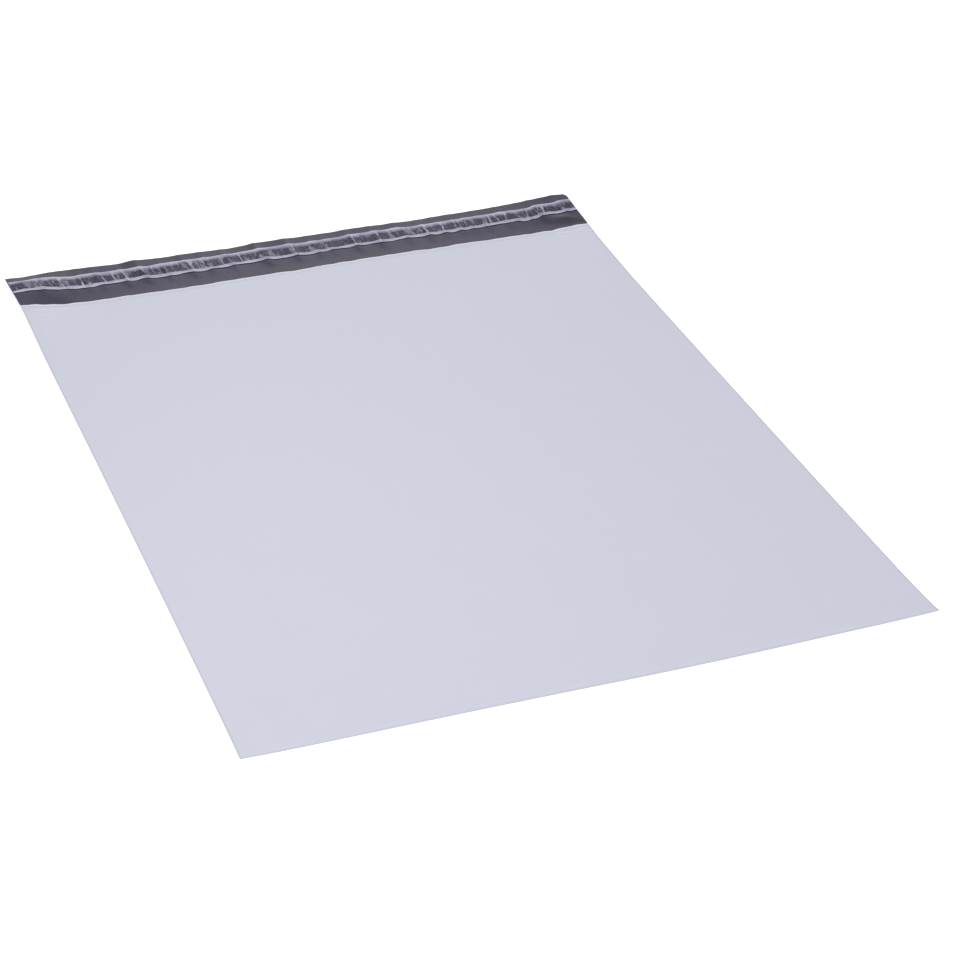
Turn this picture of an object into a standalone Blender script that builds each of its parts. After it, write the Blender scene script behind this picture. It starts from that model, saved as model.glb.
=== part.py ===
"""Open poly mailer bag, empty and lying on its back panel.

One film is folded at the bottom and sealed up both sides, so that it makes a pocket. The back panel runs
on past the mouth as a lip. The lip's inner face carries a band of hot-melt adhesive under a loose release
liner. X runs across the bag, Y from the bottom fold to the lip's free edge, and Z up. The origin is under
the middle of the bag, on the surface that it lies on.
"""

import math

import bmesh
import bpy
import numpy as np

# The film and the pocket that it makes
BAG_WIDTH = 0.483
POCKET_LENGTH = 0.607
LIP_LENGTH = 0.053
FILM_THICKNESS = 0.00006
SEAM_WIDTH = 0.002
LIP_FLARE = 0.0021
WAIST = 0.0007

# How far the bottom fold bows down, and the bow's place and reach as shares of half of the width
FOLD_BOW = 0.0021
FOLD_BOW_PLACE = 0.26
FOLD_BOW_REACH = 0.45

# How the fold's corners stand out sideways and are drawn up
FOLD_FLARE = 0.0011
FOLD_CORNER_RISE = 0.0014
FOLD_CORNER_REACH = 0.022

# How the empty pocket stands open
POCKET_SLACK = 0.0022
FOLD_LOFT = 0.0005
FOLD_REACH = 0.003
MOUTH_GAP = 0.0006

# How the mouth's ends lift off the surface that the bag lies on
MOUTH_LIFT_LEFT = 0.0042
MOUTH_LIFT_RIGHT = 0.0021
CURL_REACH_LEFT = 0.027
CURL_REACH_RIGHT = 0.020
MOUTH_LIFT_REACH = 0.110
MOUTH_SHIFT_LEFT = 0.0031

# How the lip lifts, and the hump near its left end
LIP_LIFT_MIDDLE = 0.0017
LIP_LIFT_LEFT = 0.0041
LIP_LIFT_RIGHT = 0.0051
HUMP_LIFT = 0.0030
HUMP_PLACE = 0.023
HUMP_REACH = 0.024

# The adhesive band and the release liner over it
GLUE_WIDTH = 0.0104
GLUE_THICKNESS = 0.0002
GLUE_TO_LIP_EDGE = 0.0156
GLUE_END_INSET = 0.0020
LINER_THICKNESS = 0.00008
LINER_PAST_GLUE_OUTSIDE = 0.0047
LINER_PAST_GLUE_INSIDE = 0.0041
LINER_END_INSET = 0.0006
LINER_RIPPLE = 0.0007
RIPPLE_LENGTHS = (0.0170, 0.0235, 0.0410)
CLEARANCE = 0.0003

# How finely the surfaces are divided
PANEL_COLUMNS = 72
LIP_ROWS = 9
FOLD_STEPS = 4
GLUE_COLUMNS = 96
GLUE_ROWS = 3
LINER_COLUMNS = 120
LINER_ROWS = 6

# Worked out from the sizes
HALF_WIDTH = BAG_WIDTH / 2
FOLD_Y = (FOLD_BOW - POCKET_LENGTH - LIP_LENGTH) / 2
MOUTH_Y = FOLD_Y + POCKET_LENGTH
LIP_EDGE_Y = MOUTH_Y + LIP_LENGTH
GLUE_OUTER_Y = LIP_EDGE_Y - GLUE_TO_LIP_EDGE
GLUE_INNER_Y = GLUE_OUTER_Y - GLUE_WIDTH


def clear_scene():
    for thing in list(bpy.data.objects):
        bpy.data.objects.remove(thing, do_unlink=True)


def ramp(t):
    """Rises smoothly from 0 to 1 as t goes from 0 to 1, and is level outside that."""
    t = np.clip(t, 0.0, 1.0)
    return t * t * (3 - 2 * t)


def bell(distance, reach):
    """1 where the distance is 0, falling to either side as a bell curve of that reach."""
    return np.exp(-((distance / reach) ** 2))


def from_left(across):
    """Distance from the left side edge, where across runs from -1 to 1 between the side edges."""
    return HALF_WIDTH * (1 + across)


def from_right(across):
    """Distance from the right side edge."""
    return HALF_WIDTH * (1 - across)


def share_of_pocket(y):
    """0 at the fold and 1 at the mouth and beyond."""
    return np.clip((y - FOLD_Y) / POCKET_LENGTH, 0.0, 1.0)


def share_of_lip(y):
    """0 up to the mouth and 1 at the lip's free edge."""
    return np.clip((y - MOUTH_Y) / LIP_LENGTH, 0.0, 1.0)


def near_mouth(y):
    """0 far down the pocket, rising smoothly to 1 at the mouth and on the lip."""
    return ramp((y - MOUTH_Y + MOUTH_LIFT_REACH) / MOUTH_LIFT_REACH)


def half_width_at(y):
    """Half of the bag's width: drawn in a little halfway up, and flared at the fold and at the lip."""
    waist = WAIST * np.sin(math.pi * share_of_pocket(y))
    at_fold = FOLD_FLARE * np.exp(-(y - FOLD_Y) / FOLD_CORNER_REACH)
    at_lip = LIP_FLARE * np.sin(math.pi / 2 * share_of_lip(y))
    return HALF_WIDTH - waist + at_fold + at_lip


def shifted_y(across, y):
    """Where a line straight across the flat film lies: the fold bows between corners that are drawn up, and
    the mouth's left end is drawn up too."""
    bow = FOLD_BOW * bell(across - FOLD_BOW_PLACE, FOLD_BOW_REACH) * (1 - share_of_pocket(y)) ** 3
    side = np.minimum(from_left(across), from_right(across))
    corner = FOLD_CORNER_RISE * np.exp(-(side + y - FOLD_Y) / FOLD_CORNER_REACH)
    drawn = MOUTH_SHIFT_LEFT * bell(from_left(across), CURL_REACH_LEFT) * near_mouth(y)
    return y + drawn * (1 - share_of_lip(y) ** 2) + corner - bow


def back_height(across, y):
    """Height of the back panel's underside.

    The mouth's ends stand up. The lip climbs from the mouth to its free edge, to a height that is least at
    the middle and grows towards both ends. A hump lies across the lip near its left end."""
    left, right = np.clip(-across, 0.0, 1.0), np.clip(across, 0.0, 1.0)
    at_left, at_right = from_left(across), from_right(across)
    mouth = MOUTH_LIFT_LEFT * bell(at_left, CURL_REACH_LEFT) + MOUTH_LIFT_RIGHT * bell(at_right, CURL_REACH_RIGHT)
    edge = (
        LIP_LIFT_MIDDLE
        + (LIP_LIFT_LEFT - LIP_LIFT_MIDDLE) * left**1.5
        + (LIP_LIFT_RIGHT - LIP_LIFT_MIDDLE) * right**3
    )
    climb = share_of_lip(y) ** 1.3
    hump = HUMP_LIFT * bell(at_left - HUMP_PLACE, HUMP_REACH) * np.sin(math.pi * share_of_lip(y))
    return mouth * near_mouth(y) * (1 - climb) + edge * climb + hump


def pocket_gap(across, y):
    """Space between the panels: none at the seams and at the fold, most in the middle of the pocket."""
    up = share_of_pocket(y)
    cross = 1 - np.abs(across) ** 4
    fold = FOLD_LOFT * (1 - np.exp(-(y - FOLD_Y - FILM_THICKNESS) / FOLD_REACH)) * (1 - up)
    return cross * (POCKET_SLACK * np.sin(math.pi * up) ** 1.2 + fold + MOUTH_GAP * up**3)


def on_film(across, y, lift):
    """Points at a lift above the back panel's underside."""
    return np.stack([across * half_width_at(y), shifted_y(across, y), back_height(across, y) + lift], axis=-1)


def ripple(x):
    """Waves of uneven length along the bag's width, from 0 to 1."""
    waves = sum(np.sin(2 * math.pi * x / length + k) for k, length in enumerate(RIPPLE_LENGTHS))
    return 0.5 + 0.5 * waves / len(RIPPLE_LENGTHS)


def grid_faces(index):
    """Quads over a grid of vertex numbers."""
    corners = (index[:-1, :-1], index[:-1, 1:], index[1:, 1:], index[1:, :-1])
    return np.stack([c.ravel() for c in corners], axis=1).tolist()


def strip_faces(first, second):
    """Quads between two rows of vertex numbers."""
    return grid_faces(np.stack([first, second]))


def make_material(name, colour, roughness):
    material = bpy.data.materials.new(name)
    material.use_nodes = True
    shader = material.node_tree.nodes["Principled BSDF"]
    shader.inputs["Base Color"].default_value = (*colour, 1.0)
    shader.inputs["Roughness"].default_value = roughness
    shader.inputs["Metallic"].default_value = 0.0
    return material


def make_object(name, points, faces, materials, face_materials=None):
    """A closed mesh from its points and faces, with its faces turned outwards."""
    mesh = bpy.data.meshes.new(name)
    mesh.from_pydata(points.tolist(), [], faces)
    for material in materials:
        mesh.materials.append(material)
    if face_materials is not None:
        mesh.polygons.foreach_set("material_index", face_materials)
    shell = bmesh.new()
    shell.from_mesh(mesh)
    bmesh.ops.recalc_face_normals(shell, faces=shell.faces)
    shell.to_mesh(mesh)
    shell.free()
    mesh.shade_smooth()
    mesh.set_sharp_from_angle(angle=math.radians(35))
    piece = bpy.data.objects.new(name, mesh)
    bpy.context.scene.collection.objects.link(piece)
    return piece


def pocket_rows():
    """Places of the pocket's rows, closest together at the fold and near the mouth."""
    at_fold = (FILM_THICKNESS, 0.0015, 0.004, 0.010, 0.025)
    shares = (0.10, 0.18, 0.28, 0.40, 0.52, 0.64, 0.75, 0.82, 0.87, 0.91, 0.94, 0.97, 1.0)
    return FOLD_Y + np.array(at_fold + tuple(share * POCKET_LENGTH for share in shares))


def panel_columns():
    """Places across the bag from -1 to 1: the side edges, the seams' inner lines and even steps between."""
    inner = 1 - SEAM_WIDTH / HALF_WIDTH
    return np.concatenate([[-1.0], np.linspace(-inner, inner, PANEL_COLUMNS - 1), [1.0]])


def make_film(outside, inside):
    """The folded and side-sealed film, as one closed solid that is open at the mouth.

    Four sheets of points make it: the back panel's outer and inner faces, which run on into the lip, and
    the front panel's inner and outer faces. The inner faces meet in a line along both seams and the fold,
    and the outer faces meet round the outside of the fold."""
    columns = panel_columns()
    pocket_y = pocket_rows()
    lip_y = np.linspace(MOUTH_Y, LIP_EDGE_Y, LIP_ROWS + 1)[1:]
    all_y = np.concatenate([pocket_y, lip_y])
    mouth = len(pocket_y) - 1
    last = len(columns) - 1
    inner = 1 - SEAM_WIDTH / HALF_WIDTH

    back_outer = on_film(*np.meshgrid(columns, all_y), 0.0)
    back_inner = on_film(*np.meshgrid(columns, all_y), FILM_THICKNESS)
    across, y = np.meshgrid(columns, pocket_y)
    gap = pocket_gap(np.clip(across / inner, -1, 1), y)
    front_inner = on_film(across, y, FILM_THICKNESS + gap)
    front_outer = on_film(across, y, 2 * FILM_THICKNESS + gap)

    # The outside of the fold is half a circle, one film thick in radius.
    turns = np.linspace(-math.pi / 2, math.pi / 2, FOLD_STEPS + 1)[1:-1]
    fold = np.repeat(back_outer[0][None], len(turns), axis=0)
    fold[:, :, 1] -= FILM_THICKNESS * np.cos(turns)[:, None]
    fold[:, :, 2] += FILM_THICKNESS * (1 + np.sin(turns))[:, None]

    points, numbers = [], []
    for part in (back_outer, back_inner, front_inner, front_outer, fold):
        start = sum(len(p) for p in points)
        points.append(part.reshape(-1, 3))
        numbers.append(start + np.arange(len(points[-1])).reshape(part.shape[:2]))
    a, b, c, d, e = numbers

    # The inner faces share their points along the fold and along both seams' inner lines.
    c[0] = b[0]
    c[:, 1] = b[: mouth + 1, 1]
    c[:, last - 1] = b[: mouth + 1, last - 1]
    rim = c[mouth].copy()
    rim[[0, last]] = b[mouth, [0, last]]

    white = grid_faces(a) + grid_faces(d)
    white += strip_faces(rim, d[mouth]) + strip_faces(a[-1], b[-1])
    white += grid_faces(np.concatenate([a[:1], e, d[:1]]))
    for side in (0, last):
        white += strip_faces(a[:mouth, side], d[:mouth, side])
        white += [[*a[mouth - 1 : mouth + 1, side], b[mouth, side], *d[mouth - 1 : mouth + 1, side][::-1]]]
        white += strip_faces(a[mouth:, side], b[mouth:, side])
        white += [[a[0, side], *e[:, side], d[0, side]]]
    dark = grid_faces(b[mouth:])
    dark += grid_faces(b[: mouth + 1, 1:last]) + grid_faces(c[:, 1:last])

    # Only the points that a face uses are kept.
    faces = [[int(n) for n in face] for face in white + dark]
    used = sorted({n for face in faces for n in face})
    new_number = {old: new for new, old in enumerate(used)}
    faces = [[new_number[n] for n in face] for face in faces]
    kept = np.concatenate(points)[used]
    return make_object("bag_film", kept, faces, [outside, inside], [0] * len(white) + [1] * len(dark))


def make_band(name, material, inner_y, outer_y, end_inset, columns, rows, lift, thickness):
    """A thin closed strip that follows the lip's inner face, lift above it at each place."""
    end = 1 - end_inset / HALF_WIDTH
    across, y = np.meshgrid(np.linspace(-end, end, columns + 1), np.linspace(inner_y, outer_y, rows + 1))
    under = FILM_THICKNESS + lift(across, y)
    low, high = on_film(across, y, under), on_film(across, y, under + thickness)
    a = np.arange(across.size).reshape(across.shape)
    b = a + across.size
    faces = grid_faces(a) + grid_faces(b)
    faces += strip_faces(a[0], b[0]) + strip_faces(a[-1], b[-1])
    faces += strip_faces(a[:, 0], b[:, 0]) + strip_faces(a[:, -1], b[:, -1])
    return make_object(name, np.concatenate([low.reshape(-1, 3), high.reshape(-1, 3)]), faces, [material])


def make_glue(material):
    """The band of hot-melt adhesive on the lip."""
    return make_band(
        "adhesive_strip", material, GLUE_INNER_Y, GLUE_OUTER_Y, GLUE_END_INSET,
        GLUE_COLUMNS, GLUE_ROWS, lambda across, y: np.full_like(across, CLEARANCE), GLUE_THICKNESS,
    )


def liner_lift(across, y):
    """Height of the liner over the lip: it lies on the adhesive, and its two free margins ripple."""
    outside = np.clip((y - GLUE_OUTER_Y) / LINER_PAST_GLUE_OUTSIDE, 0.0, 1.0)
    inside = np.clip((GLUE_INNER_Y - y) / LINER_PAST_GLUE_INSIDE, 0.0, 1.0)
    over_glue = CLEARANCE + GLUE_THICKNESS + CLEARANCE
    return over_glue + LINER_RIPPLE * ripple(across * HALF_WIDTH) * np.maximum(outside, inside)


def make_liner(material):
    """The release liner that covers the adhesive and hangs past it on both sides."""
    return make_band(
        "release_liner", material, GLUE_INNER_Y - LINER_PAST_GLUE_INSIDE,
        GLUE_OUTER_Y + LINER_PAST_GLUE_OUTSIDE, LINER_END_INSET,
        LINER_COLUMNS, LINER_ROWS, liner_lift, LINER_THICKNESS,
    )


def main():
    clear_scene()
    white_film = make_material("white_film", (0.66, 0.665, 0.75), 0.42)
    grey_film = make_material("grey_film", (0.050, 0.045, 0.076), 0.36)
    glue = make_material("adhesive", (0.032, 0.028, 0.046), 0.22)
    liner = make_material("release_liner", (0.45, 0.43, 0.53), 0.30)
    make_film(white_film, grey_film)
    make_glue(glue)
    make_liner(liner)


main()
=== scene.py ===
"""An open, empty poly mailer bag, lying front panel up on a pale floor under soft studio light."""

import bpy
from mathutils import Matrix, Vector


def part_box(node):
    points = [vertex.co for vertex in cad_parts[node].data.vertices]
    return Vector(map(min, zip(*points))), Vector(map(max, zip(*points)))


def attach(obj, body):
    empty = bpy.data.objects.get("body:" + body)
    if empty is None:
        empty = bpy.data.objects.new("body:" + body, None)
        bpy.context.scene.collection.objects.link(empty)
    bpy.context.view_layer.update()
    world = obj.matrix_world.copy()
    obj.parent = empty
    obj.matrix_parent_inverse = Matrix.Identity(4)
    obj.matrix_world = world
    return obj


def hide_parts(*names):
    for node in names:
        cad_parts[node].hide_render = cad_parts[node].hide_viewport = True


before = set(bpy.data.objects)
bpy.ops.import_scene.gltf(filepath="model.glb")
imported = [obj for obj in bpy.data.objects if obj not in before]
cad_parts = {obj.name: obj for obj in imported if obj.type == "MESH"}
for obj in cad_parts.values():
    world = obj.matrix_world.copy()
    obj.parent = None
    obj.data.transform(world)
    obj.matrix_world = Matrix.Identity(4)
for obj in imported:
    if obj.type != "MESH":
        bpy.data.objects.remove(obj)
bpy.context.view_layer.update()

import math

import bmesh
import bpy
import numpy as np
from mathutils import Matrix, Vector

# The film and the pocket that it makes, in metres, as in the solids
LIP_LENGTH = 0.053
FILM_THICKNESS = 0.00006
SEAM_WIDTH = 0.002
LIP_FLARE = 0.0021
WAIST = 0.0007
FOLD_BOW = 0.0021
FOLD_BOW_PLACE = 0.26
FOLD_BOW_REACH = 0.45
FOLD_CORNER_RISE = 0.0014
FOLD_CORNER_REACH = 0.022
POCKET_SLACK = 0.0022
FOLD_LOFT = 0.0005
FOLD_REACH = 0.003
MOUTH_GAP = 0.0006

# How far the film's corners stand out sideways or are rounded off, where the solids have one even flare
FOLD_FLARE_LEFT = 0.0004
FOLD_FLARE_RIGHT = 0.0021
MOUTH_FLARE_RIGHT = 0.0011
MOUTH_FLARE_REACH = 0.018
LIP_CORNER_ROUND = 0.0024
LIP_CORNER_DEPTH = 0.0050
LIP_CORNER_REACH = 0.012

# How the mouth and the lip lift off the floor, as in the solids
MOUTH_LIFT_LEFT = 0.0042
MOUTH_LIFT_RIGHT = 0.0021
CURL_REACH_LEFT = 0.027
CURL_REACH_RIGHT = 0.020
MOUTH_LIFT_REACH = 0.110
MOUTH_SHIFT_LEFT = 0.0031
LIP_LIFT_MIDDLE = 0.0017
LIP_LIFT_LEFT = 0.0041
LIP_LIFT_RIGHT = 0.0051
HUMP_LIFT = 0.0030
HUMP_PLACE = 0.023
HUMP_REACH = 0.024

# The tape's place on the lip, as in the solids
GLUE_TO_LIP_EDGE = 0.0156
GLUE_WIDTH = 0.0104
GLUE_END_INSET = 0.0020
LINER_PAST_GLUE_OUTSIDE = 0.0047
LINER_PAST_GLUE_INSIDE = 0.0041
LINER_END_INSET = 0.0006

# Powers that set how suddenly a form of the film rises towards its own edge, as in the solids
LIFT_POWER_LEFT = 1.5
LIFT_POWER_RIGHT = 3
CLIMB_POWER = 1.3
BULGE_POWER = 4
BULGE_LENGTH_POWER = 1.2

# Places that the frame gives
FILM_LOW, FILM_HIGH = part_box("bag_film")
HALF_WIDTH = FILM_HIGH.x - LIP_FLARE
FOLD_Y = FILM_LOW.y + FOLD_BOW
LIP_EDGE_Y = FILM_HIGH.y
MOUTH_Y = LIP_EDGE_Y - LIP_LENGTH
POCKET_LENGTH = MOUTH_Y - FOLD_Y
GLUE_OUTER_Y = LIP_EDGE_Y - GLUE_TO_LIP_EDGE
GLUE_INNER_Y = GLUE_OUTER_Y - GLUE_WIDTH
LINER_OUTER_Y = GLUE_OUTER_Y + LINER_PAST_GLUE_OUTSIDE
LINER_INNER_Y = GLUE_INNER_Y - LINER_PAST_GLUE_INSIDE

# The tape's own gaps and thicknesses, which are larger in the solids
TAPE_GAP = 0.00004
GLUE_THICKNESS = 0.00018
LINER_THICKNESS = 0.00005

# Small forms of the film that only the render shows
PUCKER_HEIGHT = 0.0011
PUCKER_REACH = 0.0034
PUCKER_TIP = 0.0008
PUCKER_SLANT = 0.12
PUCKER_START = 0.009
PUCKER_RISE = 0.017
PUCKER_FALL = 0.60
BUCKLE_HEIGHT = 0.0016
BUCKLE_START = (0.459, 0.022)
BUCKLE_ANGLE = math.radians(-36)
BUCKLE_LENGTH = 0.024
BUCKLE_STEEP_REACH = 0.0035
BUCKLE_GENTLE_REACH = 0.0100
LIP_RIPPLE = 0.00012
LIP_RIPPLE_SPACING = 0.0065
MOUTH_RIPPLE = 0.00030
MOUTH_RIPPLE_REACH = 0.016
MOUTH_RIPPLE_SPACING = 0.0080
RIDGE_HEIGHT = 0.00042
RIDGE_SPACING = 0.0075
RIDGE_DEPTH = 0.014
RIDGE_REACH_LEFT = 0.040
RIDGE_REACH_RIGHT = 0.052
RIDGE_STRAY_LONG = 0.0025
RIDGE_STRAY_LONG_SPACING = 0.0160
RIDGE_STRAY_SHORT = 0.0008
RIDGE_STRAY_SHORT_SPACING = 0.0060
EDGE_CURL = 0.00030
EDGE_CURL_REACH = 0.0026
CUT_WANDER_DEPTH = 0.020
CUT_WAVE = 0.0006
CUT_WAVE_SPACING = 0.0060
PANEL_UNDULATION = 0.00014
PANEL_UNDULATION_SPACING = (0.060, 0.110)
SEAM_POWER = 60

# Bands of the film that its materials colour, most of them painted shade or painted highlight: how wide each
# is or where it lies, and how fast it fades
SIDE_GREY_BAND = 0.0006
SIDE_GREY_FADE = 0.0012
CUT_HIGHLIGHT_BAND = 0.0006
CUT_HIGHLIGHT_FADE = 0.0013
CURL_SHADE_PLACE = 0.0032
CURL_SHADE_REACH = 0.0022
RIDGE_HIGHLIGHT_POWER = 5.0
FOLD_SHADE_BAND = 0.0006
FOLD_SHADE_FADE = 0.0014
FOLD_HIGHLIGHT_PLACE = 0.0036
FOLD_HIGHLIGHT_REACH = 0.0012
CORNER_SHADE_HEIGHT = 0.004
CORNER_SHADE_REACH = 0.012
END_SHADE_HEIGHT = 0.016
END_SHADE_START = 0.050
END_SHADE_FADE = 0.020
END_SHADE = 0.45

# Small forms of the liner
LINER_RIPPLE_OUTSIDE = 0.0007
LINER_RIPPLE_INSIDE = 0.00028
LINER_CUT_WAVE_OUTSIDE = 0.0004
LINER_CUT_WAVE_INSIDE = 0.0007
STUCK_EDGE_WAVE_OUTSIDE = 0.00112
STUCK_EDGE_WAVE_INSIDE = 0.0007
STUCK_FADE_OUTSIDE = 0.0020
STUCK_FADE_INSIDE = 0.0009
MILK_OUTSIDE = 0.54
BAR_FLARE = 0.0002
BAR_STRAY = 0.0005
BAR_EDGE = 0.0005
FINE_LINES = 64
TUNNEL_LIFT = 0.00030
GLUE_CUT_WAVE = 0.0003
# Width of the painted highlight along the liner's cut edges
RIM_HIGHLIGHT_WIDTH = 0.0016

# How finely the meshes are divided: columns over the film, rows of each part, and columns and rows of a strip
FILM_COLUMNS = 279
POCKET_ROWS = 28
RIDGE_ROWS = 20
LIP_ROWS = 32
GLUE_GRID = (481, 9)
LINER_GRID = (1181, 37)

# Patterns of the surfaces: features to the metre, more or less
STREAKS_PER_METRE = 380.0
MOTTLES_PER_METRE = 26.0
HAZE_PER_METRE = 2600.0
WARM_PATCHES_PER_METRE = 24.0
CREASE_PATCHES_PER_METRE = 9.0
CREASE_BENDS_PER_METRE = 14.0
GLUE_PATCHES_PER_METRE = 240.0
GLUE_BUMPS_PER_METRE = 520.0
FLECKS_PER_METRE = 520.0
STUCK_PATCHES_PER_METRE = 260.0

# Roughness, how far the streaks raise it on the film, and depth of the finest relief
ROUGHNESS_WHITE = 0.38
ROUGHNESS_GREY = 0.22
ROUGHNESS_GLUE = 0.22
ROUGHNESS_LINER = 0.26
ROUGHNESS_SPREAD = 0.10
RELIEF_WHITE = 0.00002
RELIEF_GREY = 0.00003
RELIEF_GLUE = 0.00006
RELIEF_LINER = 0.00003

# Colours, the darker one of each pair first
WHITE_FILM = ((0.663, 0.670, 0.788), (0.698, 0.705, 0.824))
GREY_FILM = ((0.031, 0.026, 0.059), (0.056, 0.050, 0.094))
GREY_FILM_WARM = (0.050, 0.036, 0.062)
# Painted shade at the lip's right end
GREY_FILM_END_SHADE = (0.018, 0.016, 0.026)
GREY_FILM_CREASE = (0.13, 0.12, 0.17)
GLUE = ((0.011, 0.008, 0.025), (0.036, 0.030, 0.072))
LINER_STUCK = (0.12, 0.09, 0.19)
LINER_LOOSE = (0.535, 0.51, 0.665)
# Painted highlight along the liner's cut edges
LINER_RIM_HIGHLIGHT = (0.72, 0.69, 0.84)
FLOOR = (0.90, 0.90, 0.90, 1.0)

# How much each band of the white film is tinted, and with what; all but the first are painted shade or
# painted highlight
WHITE_FILM_BANDS = (
    # Greyer along the side edges of the pocket
    ("side_edge_grey", 0.5, (0.520, 0.530, 0.580)),
    # Painted shade in a band just below the mouth's curled edge
    ("mouth_curl_shade", 0.5, (0.600, 0.595, 0.700)),
    # Painted highlight on the crests of the ridges beside the mouth
    ("ridge_crest_highlight", 1.0, (0.820, 0.825, 0.940)),
    # Painted highlight along the mouth's cut edge
    ("cut_edge_highlight", 0.9, (0.850, 0.850, 0.930)),
    # Painted shade along the fold, where the film turns down
    ("fold_shade", 0.4, (0.560, 0.575, 0.650)),
    # Painted highlight in a line just inside the fold
    ("fold_highlight", 0.4, (0.740, 0.750, 0.850)),
)

# Light and floor
WORLD_LEVEL = 0.78
KEY_PLACE = (-0.30, -0.30, 0.70)
KEY_SIZE = 0.35
KEY_POWER = 0.9
BACK_PLACE = (0.58, 2.20, 1.10)
BACK_SIZE = 0.8
BACK_POWER = 1.3
FLOOR_GLOW = 0.55
FLOOR_DROP = 0.0002
FLOOR_SIZE = 12.0

# Camera, found from the outline of the bag in the picture
CAMERA_AZIMUTH = math.radians(-21.453)
CAMERA_ELEVATION = math.radians(31.868)
CAMERA_ROLL = math.radians(1.261)
CAMERA_TARGET = (0.01167, -0.07365, 0.00039)
CAMERA_DISTANCE = 1.928
CAMERA_LENS = 101.06
SENSOR_WIDTH = 36.0

# Puckers that run across the lip: distance from the left side edge, and strength
PUCKERS = (
    (0.0236, 0.6), (0.0472, 0.4), (0.0600, 0.5), (0.0721, 0.5), (0.0917, 0.8), (0.1084, 1.0),
    (0.1265, 0.7), (0.1458, 0.9), (0.1618, 0.6), (0.1804, 0.8), (0.2086, 1.2), (0.2340, 1.1),
    (0.2534, 0.7), (0.2653, 0.6), (0.2864, 0.9), (0.3075, 0.8), (0.3305, 0.7), (0.3495, 0.9),
    (0.3632, 0.7), (0.3769, 0.6), (0.3877, 0.7), (0.3995, 0.8), (0.4197, 0.7), (0.4290, 0.6),
    (0.4402, 0.5), (0.4509, 1.7), (0.4728, 0.9),
)

# Long waves of the lip's free edge: distance from the left side edge, and height
LIP_EDGE_WAVES = (
    (0.000, 0.0002), (0.016, -0.0003), (0.038, 0.0009), (0.054, 0.0006), (0.077, 0.0002), (0.089, -0.0006),
    (0.104, 0.0008), (0.124, -0.0001), (0.155, 0.0001), (0.183, -0.0006), (0.196, 0.0001), (0.208, 0.0008),
    (0.231, 0.0010), (0.250, 0.0004), (0.275, 0.0004), (0.291, 0.0009), (0.320, 0.0003), (0.345, -0.0006),
    (0.370, -0.0002), (0.387, -0.0005), (0.420, -0.0005), (0.447, -0.0002), (0.460, 0.0007), (0.473, 0.0009),
    (0.483, 0.0),
)

# How far the liner's two margins stray over the film: distance from the left side edge, and shift
OUTER_MARGIN = (
    (0.000, 0.0004), (0.033, 0.0), (0.051, -0.0016), (0.062, 0.0002), (0.085, -0.0005), (0.111, -0.0010),
    (0.133, 0.0010), (0.150, 0.0002), (0.204, 0.0005), (0.247, 0.0), (0.308, 0.0005), (0.327, 0.0007),
    (0.353, -0.0006), (0.378, -0.0003), (0.422, -0.0004), (0.442, -0.0014), (0.455, 0.0), (0.468, -0.0008),
    (0.481, 0.0012), (0.483, 0.0012),
)
INNER_MARGIN = (
    (0.000, -0.0016), (0.035, -0.0012), (0.058, -0.0007), (0.082, 0.0003), (0.105, 0.0002), (0.117, -0.0008),
    (0.140, -0.0005), (0.152, -0.0014), (0.170, -0.0006), (0.188, 0.0007), (0.212, 0.0002), (0.248, -0.0004),
    (0.273, 0.0007), (0.303, 0.0004), (0.328, 0.0009), (0.351, 0.0002), (0.372, -0.0004), (0.410, 0.0003),
    (0.424, 0.0004), (0.436, -0.0014), (0.444, -0.0006), (0.457, 0.0021), (0.465, 0.0005), (0.483, 0.0008),
)

# How far the cut of the mouth's edge strays from a straight line: distance from the left side edge, and shift
MOUTH_CUT = (
    (0.000, 0.0016), (0.008, 0.0005), (0.020, -0.0003), (0.060, 0.0004), (0.090, -0.0005), (0.150, -0.0017),
    (0.162, -0.0011), (0.198, -0.0004), (0.210, -0.0015), (0.234, -0.0020), (0.246, -0.0006), (0.280, 0.0001),
    (0.300, 0.0006), (0.340, -0.0001), (0.354, -0.0008), (0.366, 0.0003), (0.400, -0.0009), (0.426, -0.0010),
    (0.438, -0.0002), (0.450, -0.0014), (0.464, -0.0004), (0.483, 0.0),
)

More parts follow.
